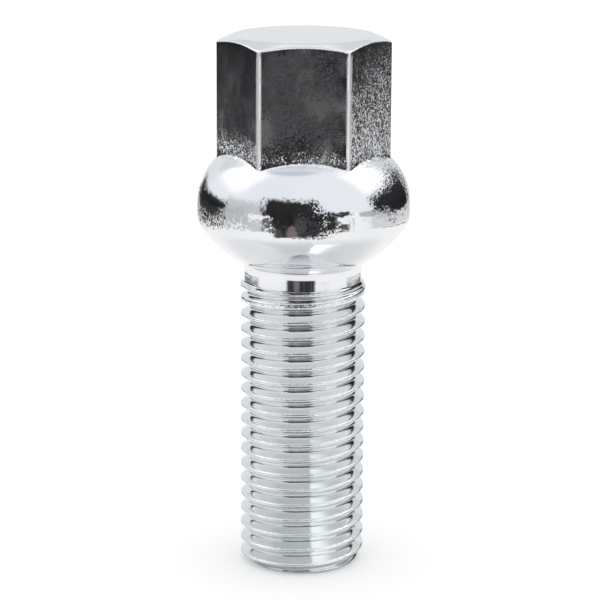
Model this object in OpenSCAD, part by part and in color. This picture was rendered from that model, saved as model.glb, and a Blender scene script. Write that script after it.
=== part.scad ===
/* [Thread] */
// Diameter over the thread crests
thread_d = 14; // [12:0.5:16]
// Rise of the thread in one turn
thread_pitch = 1.75; // [1.25:0.25:2]
// Bevel that starts the thread at the tip, as deep along the axis as across it
tip_bevel = 0.9; // [0.8:0.1:1.6]
// Turns over which the groove grows shallow and ends below the neck
fade_turns = 1.25; // [0.5:0.25:1.5]

/* [Shank] */
// Length from the ball seat to the tip
shank_len = 34.8; // [25:0.2:50]
// Plain neck between the ball seat and the end of the thread
neck_len = 1.8; // [1:0.1:4]
// How far the neck lies inside the thread crests
neck_step = 0.3; // [0.1:0.05:0.6]
// Height of the cone on which the crests come down to the neck
neck_cone = 0.6; // [0.3:0.1:1.2]

/* [Ball seat] */
// Radius of the ball that the seat is a zone of
seat_r = 14; // [12.5:0.5:18]
// Radius of the round edge between the seat and the collar's band
seat_edge_r = 3; // [1:0.5:5]

/* [Collar] */
// Widest diameter of the collar
collar_d = 23.6; // [22.5:0.1:25]
// Height of the straight band round the collar
band_h = 1.3; // [0.5:0.1:3]
// Radius of the shoulder that curves in from the band to the hexagon
shoulder_r = 6.2; // [4:0.2:9]

/* [Hexagon] */
// Width across the flats
hex_width = 17; // [15:0.5:19]
// Height of the hexagon's top above the collar's band
hex_h = 18.4; // [12:0.2:26]
// Radius of the six upright edges
hex_edge_r = 1.1; // [0.3:0.1:1.5]
// Diameter of the level disc on top
top_flat_d = 15.4; // [12:0.2:16.4]
// Slope of the bevel round the disc, in degrees
top_bevel_angle = 22; // [10:1:35]

/* [Hidden] */
$fn = 120;

// Radii
crest_r = thread_d / 2;
neck_r = crest_r - neck_step;
collar_r = collar_d / 2;
hex_corner_r = hex_width / 2 / cos(30);

// Heights above the tip
seat_centre_z = shank_len + sqrt(pow(seat_r, 2) - pow(neck_r, 2));
// A collar as wide as the ball or wider starts at the height of the ball's middle
seat_edge_drop = sqrt(max(0, pow(seat_r - seat_edge_r, 2) - pow(collar_r - seat_edge_r, 2)));
seat_edge_z = seat_centre_z - seat_edge_drop;
band_top_z = seat_edge_z + band_h;
top_z = band_top_z + hex_h;
groove_end_z = shank_len - neck_len;
crest_end_z = groove_end_z - neck_cone;

// Metric thread form: flanks at 30 degrees to the cross-section and a crest flat of an eighth of the pitch
flank_slope = tan(30);
thread_depth = 0.6134 * thread_pitch;
groove_mouth = thread_pitch * 7 / 8;
groove_floor = groove_mouth - 2 * thread_depth * flank_slope;
// The groove is cut in straight steps, this many in a turn
turn_steps = 30;
// The cutting shape of the groove stands proud of the crests by this much
cut_margin = 0.1;
// Height of the first full crest on the -X side
first_crest_z = 0.9;

// A hexagon with round corners: a smaller one with sharp corners, grown by the radius of the edges
module hex_outline() {
    offset(r = hex_edge_r) circle(r = hex_corner_r - hex_edge_r / cos(30), $fn = 6);
}

// Drive hexagon, its foot sunk in the collar and its top turned to a disc with a bevel
module hex_head() {
    bevel_drop = (hex_corner_r - top_flat_d / 2) * tan(top_bevel_angle);
    intersection() {
        translate([0, 0, seat_edge_z])
            linear_extrude(top_z - seat_edge_z) hex_outline();
        rotate_extrude() polygon([
            [0, 0],
            [hex_corner_r, 0],
            [hex_corner_r, top_z - bevel_drop],
            [top_flat_d / 2, top_z],
            [0, top_z]
        ]);
    }
}

// Half section of the collar: round shoulder, straight band, round edge and ball seat
module collar_section() {
    shoulder_x = collar_r - shoulder_r;
    seat_edge_x = collar_r - seat_edge_r;
    seat_end_angle = atan2(seat_edge_drop, seat_edge_x);
    translate([shoulder_x, band_top_z]) circle(r = shoulder_r);
    translate([0, band_top_z]) square([shoulder_x, shoulder_r]);
    translate([0, seat_edge_z]) square([collar_r, band_h]);
    translate([seat_edge_x, seat_edge_z]) circle(r = seat_edge_r);
    intersection() {
        translate([0, seat_centre_z]) circle(r = seat_r);
        polygon([
            [0, seat_centre_z],
            [0, shank_len],
            [neck_r, shank_len],
            [seat_r * cos(seat_end_angle), seat_centre_z - seat_r * sin(seat_end_angle)]
        ]);
    }
}

module collar() {
    rotate_extrude() intersection() {
        collar_section();
        square([collar_r, top_z]);
    }
}

// Shank before threading: bevelled tip, full crest diameter and the plain neck
module shank_blank() {
    rotate_extrude() polygon([
        [0, 0],
        [crest_r - tip_bevel, 0],
        [crest_r, tip_bevel],
        [crest_r, crest_end_z],
        [neck_r, groove_end_z],
        [neck_r, seat_centre_z - seat_r / 2],
        [0, seat_centre_z - seat_r / 2]
    ]);
}

// Right-hand groove of the thread: one four-sided section swept up the helix, which moves
// outward over its last turns so that the groove fades out
module thread_groove() {
    // Step 0 is on the +X side, a pitch lower than the first crest, and the groove starts a pitch below the tip
    first_step = -ceil(turn_steps * first_crest_z / thread_pitch);
    last_step = floor(turn_steps * ((groove_end_z - first_crest_z) / thread_pitch + 1));
    fade_steps = fade_turns * turn_steps;
    floor_r = crest_r - thread_depth;
    mouth_r = crest_r + cut_margin;
    half_floor = groove_floor / 2;
    half_mouth = groove_mouth / 2 + cut_margin * flank_slope;
    section = [[floor_r, -half_floor], [mouth_r, -half_mouth], [mouth_r, half_mouth], [floor_r, half_floor]];
    points = [
        for (i = [first_step:last_step])
            let (
                turn = i * 360 / turn_steps,
                rise = first_crest_z + thread_pitch * (i / turn_steps - 1),
                fade = thread_depth * max(0, 1 - (last_step - i) / fade_steps)
            )
            for (p = section)
                [(p[0] + fade) * cos(turn), (p[0] + fade) * sin(turn), rise + p[1]]
    ];
    last = len(points) - 4;
    sides = [
        for (ring = [0:4:last - 4]) for (k = [0:3])
            let (a = ring + k, b = ring + (k + 1) % 4)
            each [[a, b + 4, a + 4], [a, b, b + 4]]
    ];
    ends = [[3, 2, 1, 0], [last, last + 1, last + 2, last + 3]];
    polyhedron(points, concat(sides, ends), convexity = 10);
}

module wheel_bolt() {
    color("silver") {
        hex_head();
        collar();
        difference() {
            shank_blank();
            thread_groove();
        }
    }
}

wheel_bolt();
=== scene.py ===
import math

import bmesh
import bpy
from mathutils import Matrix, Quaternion, Vector


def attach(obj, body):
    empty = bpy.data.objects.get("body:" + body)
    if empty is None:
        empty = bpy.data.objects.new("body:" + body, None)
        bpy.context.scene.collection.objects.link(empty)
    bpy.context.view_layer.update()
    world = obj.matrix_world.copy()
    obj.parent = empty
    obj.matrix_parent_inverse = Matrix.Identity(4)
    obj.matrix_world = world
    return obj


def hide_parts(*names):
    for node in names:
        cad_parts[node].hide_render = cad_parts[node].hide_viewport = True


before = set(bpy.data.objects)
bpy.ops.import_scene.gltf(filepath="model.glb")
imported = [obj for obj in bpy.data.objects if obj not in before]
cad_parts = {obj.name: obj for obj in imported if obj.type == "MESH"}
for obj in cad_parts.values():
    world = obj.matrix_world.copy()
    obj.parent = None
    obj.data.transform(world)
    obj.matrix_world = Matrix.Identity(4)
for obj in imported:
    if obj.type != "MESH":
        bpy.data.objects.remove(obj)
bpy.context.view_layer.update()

# The wheel bolt is one piece of steel. Its head and collar are forged, the ball seat, the neck and
# the bevels are turned, the M14 thread is rolled, and bright chrome plating covers all of it.
# The mesh is one skin, made from the tip to the top, in millimetres until the end.

MM = 0.001
CREST_R = 7.0
PITCH = 1.75
THREAD_DEPTH = 0.6134 * PITCH
FLANK_ANGLE = math.radians(30)
# Half the width of the groove at the crests, in parts of the pitch
HALF_MOUTH = 7 / 16
FIRST_CREST_Z = 0.9
CREST_END_Z = 32.4
GROOVE_END_Z = 33.0
THREAD_TOP_Z = 34.1
# The groove grows shallow over this height and ends
FADE = 1.25 * PITCH
# Rolling leaves round crests and roots: widths of the depth over which the section bends
CREST_ROUND = 0.16
ROOT_ROUND = 0.25

# The bevel at the tip rises at 45 degrees from an edge that is rounded off
TIP_R = CREST_R - 0.9
TIP_EDGE_DROP = 0.45
TIP_EDGE_HEIGHT = 0.22
TIP_ROUND = 0.12

# The neck narrows from the fillet under the seat to a short upright land above the thread
NECK_R = 6.7
LAND_R = 6.58
LAND_Z = 33.95
NECK_TOP_Z = 34.75
NECK_LEVELS = (34.2, 34.3, 34.4)
CREST_FALL = 1.3
NECK_ROUND = 0.06

# The outline of the hexagon gives the columns of the whole mesh, so its upright edges are round.
# Beside an edge each flat falls away a little, as polished steel does.
HEX_FLAT = 8.5
HEX_EDGE_R = 1.1
EASE = math.radians(3.5)
EASE_WIDTH = 1.1
EDGE_STEPS = 8
FLAT_STEPS = 20
# How strongly the columns of a flat crowd toward its edges
CROWDING = 0.6


def hexagon_outline():
    """Points of the round-cornered hexagon, counter-clockwise, from the corner on the +X side."""
    sixth = math.radians(60)
    ease_drop = EASE_WIDTH * math.tan(EASE) / 2
    disc_x = (HEX_FLAT - ease_drop - HEX_EDGE_R * math.cos(EASE)) / math.cos(sixth / 2)
    points = []
    for corner in range(6):
        turn = corner * sixth
        half_arc = sixth / 2 - EASE
        for step in range(EDGE_STEPS + 1):
            normal = turn - half_arc + 2 * half_arc * step / EDGE_STEPS
            points.append(
                (
                    disc_x * math.cos(turn) + HEX_EDGE_R * math.cos(normal),
                    disc_x * math.sin(turn) + HEX_EDGE_R * math.sin(normal),
                )
            )
        # The flat to the next corner: its own direction, and half its length between the arcs
        facing = turn + sixth / 2
        half_length = disc_x * math.sin(sixth / 2) - HEX_EDGE_R * math.sin(EASE)
        for step in range(1, FLAT_STEPS):
            part = step / FLAT_STEPS
            part -= CROWDING * math.sin(2 * math.pi * part) / (2 * math.pi)
            along = half_length * (2 * part - 1)
            fall = max(0.0, 1 - (half_length - abs(along)) / EASE_WIDTH) ** 2 * ease_drop
            points.append(
                (
                    (HEX_FLAT - fall) * math.cos(facing) - along * math.sin(facing),
                    (HEX_FLAT - fall) * math.sin(facing) + along * math.cos(facing),
                )
            )
    return points


outline = hexagon_outline()
turns = [math.atan2(y, x) % (2 * math.pi) for x, y in outline]
hex_radii = [math.hypot(x, y) for x, y in outline]
first = turns.index(min(turns))
turns = turns[first:] + turns[:first]
hex_radii = hex_radii[first:] + hex_radii[:first]
columns = len(turns)


def soft_min(a, b, width):
    """The smaller of two values, with the change from one to the other rounded over a width."""
    h = max(0.0, width - abs(a - b)) / width
    return min(a, b) - h * h * width / 4


def groove_cut(offset):
    """Depth of the groove at a distance from its middle, in parts of the pitch."""
    flank = (HALF_MOUTH - abs(offset)) * PITCH / math.tan(FLANK_ANGLE)
    return soft_min(-soft_min(-flank, 0.0, CREST_ROUND), THREAD_DEPTH, ROOT_ROUND)


def neck_radius(z):
    """Radius of the plain neck at a height."""
    part = min(max((z - LAND_Z) / (NECK_TOP_Z - LAND_Z), 0.0), 1.0)
    return LAND_R + (NECK_R - LAND_R) * part


def shank_radius(turn, z):
    """Radius of the threaded shank at an angle and a height."""
    middle = FIRST_CREST_Z + PITCH * (turn / (2 * math.pi) - 1)
    centre = middle + PITCH * round((z - middle) / PITCH)
    fade = THREAD_DEPTH * min(max(1 - (GROOVE_END_Z - centre) / FADE, 0), 1)
    threaded = CREST_R - max(0.0, groove_cut((z - centre) / PITCH) - fade)
    tip = TIP_R + z - TIP_EDGE_DROP * math.exp(-z / TIP_EDGE_HEIGHT)
    neck = max(neck_radius(z), CREST_R - CREST_FALL * max(0.0, z - CREST_END_Z))
    return soft_min(soft_min(threaded, tip, TIP_ROUND), neck, NECK_ROUND)


# Heights over one pitch at which the thread has a ring of points, in parts of the pitch
SECTION = [0, 0.04, 0.065, 0.09, 0.14, 0.22, 0.3, 0.37, 0.41, 0.45, 0.5]
SECTION += [0.55, 0.59, 0.63, 0.7, 0.78, 0.86, 0.91, 0.935, 0.96]
# Points closer than this are one point, where rings end at the tip or at the top of the thread
WELD = 2e-4

mesh = bmesh.new()
rings = []
lowest = FIRST_CREST_Z - PITCH / 2
start = math.floor((-PITCH - lowest) / PITCH) - 1
stop = math.ceil((THREAD_TOP_Z - lowest) / PITCH) + 1
for count in range(start, stop):
    for part in SECTION:
        level = lowest + (count + part) * PITCH
        ring = []
        for turn in turns:
            z = min(max(level + PITCH * turn / (2 * math.pi), 0.0), THREAD_TOP_Z)
            r = shank_radius(turn, z)
            ring.append(mesh.verts.new((r * math.cos(turn), r * math.sin(turn), z)))
        rings.append(ring)
for row in range(len(rings) - 1):
    for column in range(columns):
        beside = column + 1
        lift = 0
        if beside == columns:
            # One turn round, a ring of the helix meets the ring that lies a pitch above it
            beside, lift = 0, len(SECTION)
        below = rings[min(row + lift, len(rings) - 1)][beside]
        above = rings[min(row + 1 + lift, len(rings) - 1)][beside]
        corners = (rings[row][column], below, above, rings[row + 1][column])
        if len(set(corners)) == 4:
            mesh.faces.new(corners)
        elif len(set(corners)) == 3:
            mesh.faces.new(tuple(dict.fromkeys(corners)))
bmesh.ops.remove_doubles(mesh, verts=mesh.verts, dist=WELD)


def ring_at(height):
    """The closed ring of points at a height, one for each column."""
    found = [v for v in mesh.verts if abs(v.co.z - height) < WELD / 2]
    found.sort(key=lambda v: math.atan2(v.co.y, v.co.x) % (2 * math.pi))
    return found


def bridge(lower, upper):
    """One band of faces between two rings."""
    for column in range(columns):
        beside = (column + 1) % columns
        mesh.faces.new((lower[column], lower[beside], upper[beside], upper[column]))


def add_ring(radii, heights):
    """A ring of new points, one for each column."""
    return [
        mesh.verts.new((r * math.cos(turn), r * math.sin(turn), z))
        for turn, r, z in zip(turns, radii, heights)
    ]


def close_disc(edge, radii, height, facing_up):
    """Fills a ring with a level disc of smaller rings and a fan."""
    for r in radii:
        inner = add_ring([r] * columns, [height] * columns)
        bridge(edge, inner) if facing_up else bridge(inner, edge)
        edge = inner
    centre = mesh.verts.new((0, 0, height))
    for column in range(columns):
        beside = (column + 1) % columns
        a, b = edge[column], edge[beside]
        mesh.faces.new((a, b, centre) if facing_up else (b, a, centre))


tip_edge = ring_at(0.0)
ring = ring_at(THREAD_TOP_Z)
close_disc(tip_edge, [5.5, 4.2, 2.6, 1.2], 0.0, facing_up=False)

# The ball seat centres the bolt in the wheel, and the round shoulder over it carries the hexagon,
# whose flats cut it in scallops
SEAT_R = 14.0
SEAT_CENTRE_Z = 47.0927
EDGE_R = 3.0
COLLAR_R = 11.8
SEAT_EDGE_Z = 40.4927
BAND_TOP_Z = 41.7927
SHOULDER_R = 6.2
NECK_FILLET = 0.35
FILLET_START = math.radians(8)
FILLET_STEPS = 9
SEAT_GAP = math.radians(0.6)
SEAT_STEPS = 14
SEAT_EDGE_STEPS = 8

# A hollow round leads from the neck into the ball seat, then half the section goes on to the band
fillet_x = NECK_R + NECK_FILLET
fillet_z = SEAT_CENTRE_Z - math.sqrt((SEAT_R + NECK_FILLET) ** 2 - fillet_x**2)
touch = math.atan2(SEAT_CENTRE_Z - fillet_z, fillet_x)
lower_section = [(neck_radius(z), z) for z in NECK_LEVELS]
for step in range(1, FILLET_STEPS + 1):
    angle = FILLET_START + (touch - FILLET_START) * step / FILLET_STEPS
    lower_section.append(
        (fillet_x - NECK_FILLET * math.cos(angle), fillet_z + NECK_FILLET * math.sin(angle))
    )
edge_angle = math.atan2(SEAT_CENTRE_Z - SEAT_EDGE_Z, COLLAR_R - EDGE_R)
seat_start = math.asin(fillet_x / (SEAT_R + NECK_FILLET)) + SEAT_GAP
seat_end = math.radians(90) - edge_angle
for step in range(SEAT_STEPS + 1):
    angle = seat_start + (seat_end - seat_start) * step / SEAT_STEPS
    lower_section.append((SEAT_R * math.sin(angle), SEAT_CENTRE_Z - SEAT_R * math.cos(angle)))
for step in range(1, SEAT_EDGE_STEPS + 1):
    angle = -edge_angle * (1 - step / SEAT_EDGE_STEPS)
    lower_section.append(
        (COLLAR_R - EDGE_R + EDGE_R * math.cos(angle), SEAT_EDGE_Z + EDGE_R * math.sin(angle))
    )
lower_section.append((COLLAR_R, (SEAT_EDGE_Z + BAND_TOP_Z) / 2))
lower_section.append((COLLAR_R, BAND_TOP_Z))
for r, z in lower_section:
    upper = add_ring([r] * columns, [z] * columns)
    bridge(ring, upper)
    ring = upper

# The hexagon's foot runs out in a small hollow round, its top rim is rounded off, and a shallow
# turned bevel leads up to the level disc
FOOT_FILLET = 0.45
RIM_FILLET = 0.3
TOP_Z = 60.1927
TOP_FLAT_R = 7.7
TOP_BEVEL = math.radians(22)
BEVEL_BLEND = 0.25
SHOULDER_STEPS = 16
FOOT_STEPS = 6
UPRIGHT_STEPS = 20
RIM_STEPS = 6
BEVEL_STEPS = 4


def upper_section(hex_r):
    """Half section from the shoulder to the top disc, where the hexagon has this radius."""
    section = []
    arc_x = COLLAR_R - SHOULDER_R
    fillet_x = hex_r + FOOT_FILLET
    fillet_z = BAND_TOP_Z + math.sqrt((SHOULDER_R + FOOT_FILLET) ** 2 - (fillet_x - arc_x) ** 2)
    touch = math.atan2(fillet_z - BAND_TOP_Z, fillet_x - arc_x)
    for step in range(1, SHOULDER_STEPS + 1):
        angle = touch * step / SHOULDER_STEPS
        section.append(
            (arc_x + SHOULDER_R * math.cos(angle), BAND_TOP_Z + SHOULDER_R * math.sin(angle))
        )
    for step in range(1, FOOT_STEPS + 1):
        angle = touch * (1 - step / FOOT_STEPS)
        section.append(
            (fillet_x - FOOT_FILLET * math.cos(angle), fillet_z - FOOT_FILLET * math.sin(angle))
        )
    corner_z = TOP_Z - (hex_r - TOP_FLAT_R) * math.tan(TOP_BEVEL)
    turn = math.radians(90) - TOP_BEVEL
    rim_z = corner_z - RIM_FILLET * math.tan(turn / 2)
    for step in range(1, UPRIGHT_STEPS + 1):
        section.append((hex_r, fillet_z + (rim_z - fillet_z) * step / UPRIGHT_STEPS))
    for step in range(1, RIM_STEPS + 1):
        angle = turn * step / RIM_STEPS
        section.append(
            (hex_r - RIM_FILLET * (1 - math.cos(angle)), rim_z + RIM_FILLET * math.sin(angle))
        )
    rim_r, rim_top = section[-1]
    bevel_r = TOP_FLAT_R + BEVEL_BLEND
    bevel_z = TOP_Z - BEVEL_BLEND * math.tan(TOP_BEVEL)
    for step in range(1, BEVEL_STEPS + 1):
        part = step / BEVEL_STEPS
        section.append((rim_r + (bevel_r - rim_r) * part, rim_top + (bevel_z - rim_top) * part))
    # The soft edge between the bevel and the disc
    a, b, c = (bevel_r, bevel_z), (TOP_FLAT_R, TOP_Z), (TOP_FLAT_R - BEVEL_BLEND, TOP_Z)
    for step in range(1, BEVEL_STEPS + 1):
        part = step / BEVEL_STEPS
        section.append(
            tuple(
                (1 - part) ** 2 * a[k] + 2 * part * (1 - part) * b[k] + part**2 * c[k]
                for k in (0, 1)
            )
        )
    return section


sections = [upper_section(r) for r in hex_radii]
for level in zip(*sections):
    upper = add_ring([r for r, _ in level], [z for _, z in level])
    bridge(ring, upper)
    ring = upper
close_disc(ring, [7.0, 5.6, 4.0, 2.4, 1.0], TOP_Z, facing_up=True)

bmesh.ops.recalc_face_normals(mesh, faces=mesh.faces)
for vertex in mesh.verts:
    vertex.co *= MM
data = bpy.data.meshes.new("wheel_bolt_chrome")
mesh.to_mesh(data)
mesh.free()
data.shade_smooth()
bolt = bpy.data.objects.new("wheel_bolt_chrome", data)
bpy.context.scene.collection.objects.link(bolt)
weighted = bolt.modifiers.new("flat faces shade flat", "WEIGHTED_NORMAL")
weighted.weight = 60


class Value:
    """A socket of a node tree that takes part in sums written as Python."""

    def __init__(self, tree, socket=None):
        self.tree, self.socket = tree, socket

    def node(self, kind, settings=None, sockets=None, out=0):
        """Adds a node: its settings first, then the values or links of its sockets."""
        made = self.tree.nodes.new(kind)
        for name, setting in (settings or {}).items():
            setattr(made, name, setting)
        for name, value in (sockets or {}).items():
            if isinstance(value, Value):
                self.tree.links.new(value.socket, made.inputs[name])
            else:
                made.inputs[name].default_value = value
        return Value(self.tree, made.outputs[out]) if made.outputs else made

    def math(self, operation, *values):
        return self.node("ShaderNodeMath", {"operation": operation}, dict(enumerate(values)))

    def vector(self, operation, *values):
        return self.node("ShaderNodeVectorMath", {"operation": operation}, dict(enumerate(values)))

    def __add__(self, other):
        return self.math("ADD", self, other)

    def __radd__(self, other):
        return self.math("ADD", other, self)

    def __sub__(self, other):
        return self.math("SUBTRACT", self, other)

    def __rsub__(self, other):
        return self.math("SUBTRACT", other, self)

    def __mul__(self, other):
        return self.math("MULTIPLY", self, other)

    def __rmul__(self, other):
        return self.math("MULTIPLY", other, self)

    def root(self):
        return self.math("SQRT", self)

    def limited(self):
        """Held between 0 and 1."""
        return self.math("MINIMUM", self.math("MAXIMUM", self, 0.0), 1.0)

    def ramp(self, low, high):
        """0 below low and 1 above high, with a soft step between."""
        return self.node(
            "ShaderNodeMapRange",
            {"interpolation_type": "SMOOTHSTEP"},
            {"Value": self, "From Min": low, "From Max": high, "To Min": 0.0, "To Max": 1.0},
        )

    def noise(self, scale, detail=2.0, rough=0.5):
        return self.node(
            "ShaderNodeTexNoise",
            {},
            {"Vector": self, "Scale": scale, "Detail": detail, "Roughness": rough},
        )

    def noise_along(self, value, scale, detail=2.0, rough=0.5):
        """Noise that changes with one value alone."""
        return self.node(
            "ShaderNodeTexNoise",
            {"noise_dimensions": "1D"},
            {"W": value, "Scale": scale, "Detail": detail, "Roughness": rough},
        )

    def blend(self, low, high):
        """A colour between two, by this value."""
        return self.node(
            "ShaderNodeMix", {"data_type": "RGBA"}, {0: self, 6: low, 7: high}, out=2
        )

    def parts(self):
        """The three numbers of a vector."""
        apart = self.node("ShaderNodeSeparateXYZ", {}, {0: self}).socket.node
        return [Value(self.tree, apart.outputs[k]) for k in range(3)]


# The chrome's zones, from heights and distances in metres
FLATS_FROM = (0.0465, 0.0478)
TOP_FROM = (0.0580, 0.0590)
THREAD_TO = (0.0325, 0.0335)
COLLAR_FROM = (0.0365, 0.0385)
CRESTS_FROM = (0.00675, 0.0069)
UPRIGHT_EDGES_FROM = (0.00952, 0.00958)
BAND_FROM = (0.0385, 0.0398)
BAND_TO = (0.0432, 0.0452)
# The sideways distance at which the front and back flats end
SIDE_FROM = (0.0046, 0.0052)
SIDE_SQUARED = (0.000021, 0.000027)

chrome = bpy.data.materials.new("bright_chrome")
chrome.use_nodes = True
tree = chrome.node_tree
tree.nodes.clear()
graph = Value(tree)
place = graph.node("ShaderNodeTexCoord", out=3)
x, y, z = place.parts()
away_squared = x * x + y * y
away = away_squared.root()
faces_up = graph.node("ShaderNodeNewGeometry", out=1).parts()[2]
on_top = faces_up.ramp(0.6, 0.85) * z.ramp(*TOP_FROM)
above_collar = z.ramp(*FLATS_FROM)
on_flats = above_collar * (1 - on_top)
on_thread = 1 - z.ramp(*THREAD_TO)
on_collar = z.ramp(*COLLAR_FROM) * (1 - above_collar)
on_crest = away.ramp(*CRESTS_FROM) * on_thread
on_edge = away.ramp(*UPRIGHT_EDGES_FROM) * on_flats
on_band = z.ramp(*BAND_FROM) * (1 - z.ramp(*BAND_TO))
at_side = (x * x).ramp(*SIDE_SQUARED)

# Under the plating the forged skin is grainy where the polisher's wheel didn't reach: at the foot of
# the flats, in an arch, over the right of the head, and in patches of the collar
waver = place.noise(220.0)
foot_line = 0.0507 + waver * 0.0024 - away_squared * 36.0
near_foot = 1 - (z - foot_line).ramp(-0.0022, 0.0016)
to_right = (x + (0.0562 - z) * 0.5 + waver * 0.002).ramp(0.0045, 0.0125) * x.ramp(*SIDE_FROM)
to_right = to_right * (1 - y.ramp(0.0, 0.004) * 0.5)
to_left = ((0.0530 - z) * 0.8 - x + waver * 0.002).ramp(0.0060, 0.0140)
to_left = to_left * (x * -1).ramp(*SIDE_FROM)
clouds = place.vector("MULTIPLY", place, (1.0, 1.0, 0.8)).noise(260.0, 5.0, 0.62).ramp(0.42, 0.78)
patchy = place.noise(240.0).ramp(0.40, 0.58)
left_band = (x * -1).ramp(0.0075, 0.0095) * (1 - z.ramp(0.0405, 0.0425)) * on_band
right_shoulder = x.ramp(0.006, 0.009) * z.ramp(0.043, 0.045) * (1 - above_collar)
grainy = near_foot * 0.66 + to_right * 0.42 + to_left * 0.16 + clouds * 0.10 + at_side * 0.05
grainy = on_flats * (grainy + 0.08) + on_band * patchy * 0.16 + left_band * 0.5
grainy = (grainy + right_shoulder * 0.3).limited() * (1 - on_edge)

# Ripples and grain in the skin, and fine burrs on the rolled crests, as heights in steps of this size
HEIGHT_STEP = 0.000004
ripple = place.noise(300.0) * 5.0
waves = place.noise(650.0) * on_band * 15.0
grain = place.noise(3300.0, 3.0, 0.65)
burrs = place.noise(3300.0, 3.0, 0.7).ramp(0.50, 0.66) * (on_crest * 4.0)
height = ripple + waves + grain * (0.35 + grainy * 1.2) + burrs
bump = height.node(
    "ShaderNodeBump", {}, {"Strength": 1.0, "Distance": HEIGHT_STEP, "Height": height}
)
# Each grain is a small facet of its own slope
facets = place.node("ShaderNodeTexVoronoi", {}, {"Vector": place, "Scale": 7400.0}, out=1)
facets = facets.vector("SUBTRACT", facets, (0.5, 0.5, 0.5))
facets = facets.node(
    "ShaderNodeVectorMath", {"operation": "SCALE"}, {0: facets, "Scale": grainy * 0.8}
)
normal = bump.vector("NORMALIZE", bump.vector("ADD", bump, facets))

# A thin haze lies in soft clouds on the flats and dulls what they mirror. It is the fourth power of
# the roughness, because that is how bright a haze looks
haze = clouds * (1 - at_side * 0.6) * 0.0095 + to_right * 0.003 + to_left * 0.0015
haze = on_flats * haze + grainy * grainy * 0.001 + 0.000008
roughness = haze.root().root() + grain * 0.03 + on_thread * 0.03 + on_collar * 0.02
tint = place.noise(150.0).ramp(0.3, 0.7)
bright = tint.blend((0.86, 0.87, 0.89, 1), (0.91, 0.915, 0.92, 1))
dull = tint.blend((0.80, 0.825, 0.835, 1), (0.84, 0.86, 0.865, 1))
colour = (on_thread * (1 - on_crest)).blend(bright, dull)
shader = colour.node(
    "ShaderNodeBsdfPrincipled",
    {},
    {"Base Color": colour, "Metallic": 1.0, "Roughness": roughness, "Normal": normal},
)
graph.node("ShaderNodeOutputMaterial", {}, {"Surface": shader})
data.materials.append(chrome)
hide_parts("wheel_bolt")
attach(bolt, "root")

# The table that the bolt stands on is plain white paper. In the chrome it shows dark sheets that lie
# round the bolt in front, at the left and at the right, with paper between them, as in a
# photographer's set-up for shiny goods. The camera sees it white, with the bolt's soft shadow.

FLOOR_R = 6.0
TABLE_EDGE = (0.19, 0.2128)
# Distances from the bolt at which the sheets start or end, each as a soft step between two numbers
NEAR_SHEET_FROM = (0.070, 0.080)
NECK_FROM = (0.132, 0.137)
NECK_TO = (0.1445, 0.1458)
COLLAR_SHEET_FROM = (0.152, 0.165)
LEFT_SHEET_FROM = (0.152, 0.162)
MIDDLE_SHEET_FROM = (0.205, 0.215)
RIGHT_SHEET_FROM = (0.215, 0.235)
FLAT_SHEET_FROM = (0.232, 0.245)
TOP_LINE_FROM = (0.412, 0.426)
FAR_SHEET_FROM = (0.46, 0.50)
BESIDE_GREY = (0.58, 0.595, 0.615, 1)


def heading(side, front):
    """Direction round the bolt in degrees: 0 at the front, 90 at the right."""
    return side.math("ARCTAN2", side, front) * (180 / math.pi)


def gap(turn, low, high, soft=5.0):
    """1 between two headings, with soft edges."""
    rise = turn.ramp(low - soft / 2, low + soft / 2)
    return rise * (1 - turn.ramp(high - soft / 2, high + soft / 2))


floor_mesh = bpy.data.meshes.new("table")
table = bmesh.new()
bmesh.ops.create_circle(table, cap_ends=True, segments=96, radius=FLOOR_R)
table.to_mesh(floor_mesh)
table.free()
floor = bpy.data.objects.new("table", floor_mesh)
bpy.context.scene.collection.objects.link(floor)

paper = bpy.data.materials.new("white_table")
paper.use_nodes = True
tree = paper.node_tree
tree.nodes.clear()
graph = Value(tree)
x, y, z = graph.node("ShaderNodeNewGeometry", out=0).parts()
away = (x * x + y * y).root()
turn = heading(x, y * -1)
ray = graph.node("ShaderNodeLightPath").socket.node.outputs
seen = Value(tree, ray["Is Camera Ray"])
mirrored = Value(tree, ray["Is Glossy Ray"])

# Where the dark sheets lie
ragged = away + graph.noise_along(turn, 0.35, 3.0) * 0.008
before_flats = 1 - away.ramp(*FLAT_SHEET_FROM)
narrow = gap(turn, -30.0, 22.0, 6.0) * ragged.ramp(*NEAR_SHEET_FROM)
wide = gap(turn, -43.0, 51.0, 9.0) * away.ramp(*COLLAR_SHEET_FROM) * before_flats
middle = gap(turn, -34.0, 34.0) * away.ramp(*MIDDLE_SHEET_FROM)
left_line = gap(turn, -100.0, -90.0) * away.ramp(*FLAT_SHEET_FROM)
left_sheet = gap(turn, -153.0, -91.0) * away.ramp(*LEFT_SHEET_FROM) * (1 - left_line)
right_sheet = gap(turn, 79.0, 152.0) * away.ramp(*RIGHT_SHEET_FROM)
right_sheet = right_sheet * (1 - gap(turn, 78.0, 102.0))
neck_ends = gap(turn, -157.0, -97.0, 9.0) + gap(turn, 93.0, 151.0, 9.0)
neck_ends = neck_ends * away.ramp(*NECK_FROM) * (1 - away.ramp(*NECK_TO))
beyond = gap(turn, -44.0, 51.0) + gap(turn, 79.0, 104.0) + gap(turn, -101.0, -91.0)
beyond = beyond * away.ramp(*FAR_SHEET_FROM)
dark = (narrow + wide + middle + left_sheet + right_sheet + neck_ends + beyond).limited()

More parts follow.
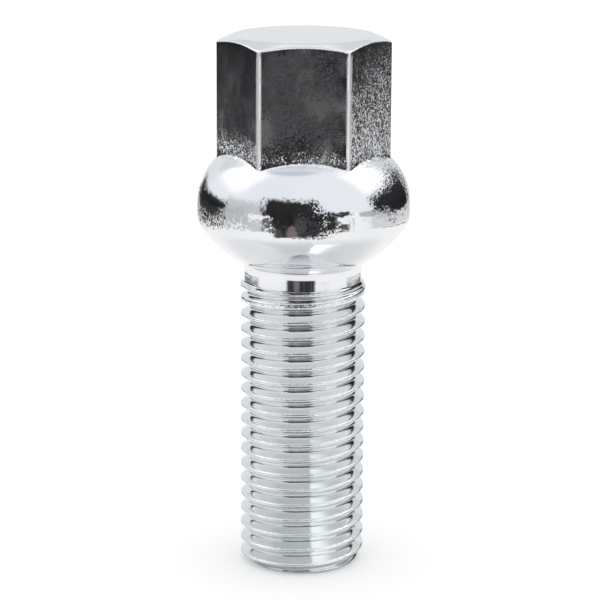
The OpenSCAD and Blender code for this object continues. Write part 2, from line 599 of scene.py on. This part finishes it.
# The sheets' own tones: streaky, with a few grey strips, and darker beyond the table's edge
streaks = graph.noise_along(turn, 0.5, 4.0, 0.7).ramp(0.42, 0.75)
near_sheet = streaks.blend((0.012, 0.012, 0.014, 1), (0.17, 0.175, 0.185, 1))
near_sheet = gap(turn, -17.0, -7.0, 3.0).blend(near_sheet, (0.20, 0.165, 0.165, 1))
near_sheet = gap(turn, -50.0, -36.0, 6.0).blend(near_sheet, (0.16, 0.165, 0.17, 1))
far_sheet = streaks.blend((0.008, 0.008, 0.009, 1), (0.05, 0.05, 0.052, 1))
top_line = away.ramp(*TOP_LINE_FROM)
front_strip = gap(turn, -2.6, 3.2, 1.0) * (1 - top_line)
far_sheet = front_strip.blend(far_sheet, (0.080, 0.081, 0.090, 1))
far_sheet = gap(turn, -5.6, -3.4, 0.8).blend(far_sheet, (0.13, 0.105, 0.11, 1))
left_strip = gap(turn, -153.0, -91.0) * (1 - top_line)
far_sheet = left_strip.blend(far_sheet, (0.034, 0.034, 0.037, 1))
sheet = away.ramp(*TABLE_EDGE).blend(near_sheet, far_sheet)

# The paper's tones, seen only in glossy rays: painted shade close in front and near the bolt, a
# painted glowing patch beside it, and grey again between the sheets
close = away.ramp(0.008, 0.012) * (1 - away.ramp(0.025, 0.039))
# Painted shade: close in front of the bolt the paper is grey in glossy rays alone, so the chrome
# mirrors a shaded floor there
front_shade = turn.ramp(-70.0, -42.0) * (1 - turn.ramp(14.0, 19.0)) + turn.ramp(46.0, 76.0) * 0.7
front_shade = front_shade * close
# Painted light: a patch of paper right of the front glows in glossy rays alone, though it is no lamp,
# and the thread mirrors it as a bright strip
glowing_patch = turn.ramp(14.0, 19.0) * (1 - turn.ramp(30.0, 58.0))
glowing_patch = glowing_patch * away.ramp(0.008, 0.010) * (1 - away.ramp(0.020, 0.034))
white_front = gap(turn, -62.0, 62.0) * away.ramp(0.235, 0.248) * (1 - away.ramp(*FAR_SHEET_FROM))
beside = away.ramp(0.152, 0.170) * (1 - white_front)
between = gap(turn, -92.0, -43.0, 10.0) * beside
right_band = turn.ramp(68.0, 84.0) * beside
edge_line = gap(turn, -103.0, -62.0, 3.0) + gap(turn, 62.0, 104.0, 3.0)
edge_line = edge_line * away.ramp(0.235, 0.248)
# Painted shade: in glossy rays the paper near the bolt is darker than further out
shade = away.ramp(0.035, 0.055).blend((0.86, 0.87, 0.88, 1), (0.97, 0.97, 0.975, 1))
shade = front_shade.blend(shade, (0.72, 0.735, 0.74, 1))
shade = between.blend(shade, BESIDE_GREY)
shade = right_band.blend(shade, (0.70, 0.71, 0.72, 1))
shade = edge_line.blend(shade, (0.50, 0.50, 0.51, 1))
shade = mirrored.blend((0.93, 0.93, 0.935, 1), shade)
shade = (dark * mirrored).blend(shade, sheet)
glow = seen.blend((0, 0, 0, 1), (0.16, 0.16, 0.16, 1))
# The painted glowing patch, which only glossy rays see
glow = (mirrored * glowing_patch).blend(glow, (0.52, 0.52, 0.52, 1))
lit = shade.node(
    "ShaderNodeBsdfPrincipled",
    {},
    {
        "Base Color": shade,
        "Roughness": 1.0,
        "Specular IOR Level": 0.0,
        "Emission Color": glow,
        "Emission Strength": 1.0,
    },
)
graph.node("ShaderNodeOutputMaterial", {}, {"Surface": lit})
floor_mesh.materials.append(paper)

# The studio is a white room, which is also its light. In the chrome it shows a grey roof, white soft
# boxes at both sides, a lamp in front and dark cloths that hang behind the sheets on the table.

world = bpy.data.worlds.new("studio")
bpy.context.scene.world = world
world.use_nodes = True
tree = world.node_tree
tree.nodes.clear()
graph = Value(tree)
x, y, z = graph.node("ShaderNodeTexCoord", out=0).parts()
rise = z.math("ARCSINE", z) * (180 / math.pi)
turn = heading(x, y * -1)
ray = graph.node("ShaderNodeLightPath").socket.node.outputs
mirrored = Value(tree, ray["Is Glossy Ray"])
roof = (x * -0.1 + y * 0.2 + z * 0.975).ramp(0.93, 0.97)
boxes = gap(turn, -148.0, -80.0, 26.0) + gap(turn, 80.0, 148.0, 26.0)
boxes = boxes * gap(rise, 28.0, 62.0, 22.0)
behind = turn.ramp(125.0, 140.0) + (turn * -1).ramp(125.0, 140.0)
beside = gap(turn, -92.0, -43.0, 10.0) * (1 - rise.ramp(8.0, 26.0))
room = roof.blend((0.87, 0.90, 0.945, 1), (0.60, 0.64, 0.69, 1))
room = beside.blend(room, BESIDE_GREY)
room = boxes.blend(room, (1.3, 1.3, 1.3, 1))
room = (behind * (1 - rise.ramp(18.0, 24.0))).blend(room, (0.80, 0.825, 0.84, 1))
room = (behind * gap(rise, 22.0, 46.0)).blend(room, (0.72, 0.74, 0.75, 1))
front_lamp = turn.ramp(14.0, 18.0) * (1 - turn.ramp(60.0, 70.0))
front_lamp = front_lamp * (rise + turn * 0.15).ramp(6.0, 10.0)
hem = graph.noise_along(turn, 0.25, 3.0) * 12.0 - 6.0
front_cloth = gap(turn, -44.0, 51.0) * (1 - (rise + hem).ramp(27.0, 35.0)) * (1 - front_lamp)
left_cloth = gap(turn, -153.0, -91.0) * (1 - (rise + hem * 0.5).ramp(3.0, 9.0))
right_cloth = gap(turn, 79.0, 152.0) * (1 - (rise + hem * 0.5).ramp(16.0, 26.0))
room = (front_cloth + left_cloth + right_cloth).blend(room, (0.02, 0.02, 0.022, 1))
room = mirrored.blend((1.0, 1.0, 1.0, 1), room)
light = room.node("ShaderNodeBackground", {}, {"Color": room, "Strength": 1.0})
graph.node("ShaderNodeOutputWorld", {}, {"Surface": light})

# The camera stands in front of one flat, a little above the middle of the bolt, and leans a little,
# as in the photograph.

AIM = Vector((-0.00032, 0.0, 0.0303))
DISTANCE = 0.272
RISE = math.radians(13.8)
ROLL = math.radians(0.28)
camera_data = bpy.data.cameras.new("camera")
camera_data.sensor_width = 36.0
camera_data.lens = 145.6
camera_data.clip_start = 0.01
camera = bpy.data.objects.new("camera", camera_data)
camera.location = AIM + Vector((0.0, -math.cos(RISE), math.sin(RISE))) * DISTANCE
camera.rotation_mode = "QUATERNION"
upright = (AIM - camera.location).to_track_quat("-Z", "Y")
camera.rotation_quaternion = upright @ Quaternion((0.0, 0.0, 1.0), ROLL)
bpy.context.scene.collection.objects.link(camera)
bpy.context.scene.camera = camera
bpy.context.scene.view_settings.view_transform = "Standard"
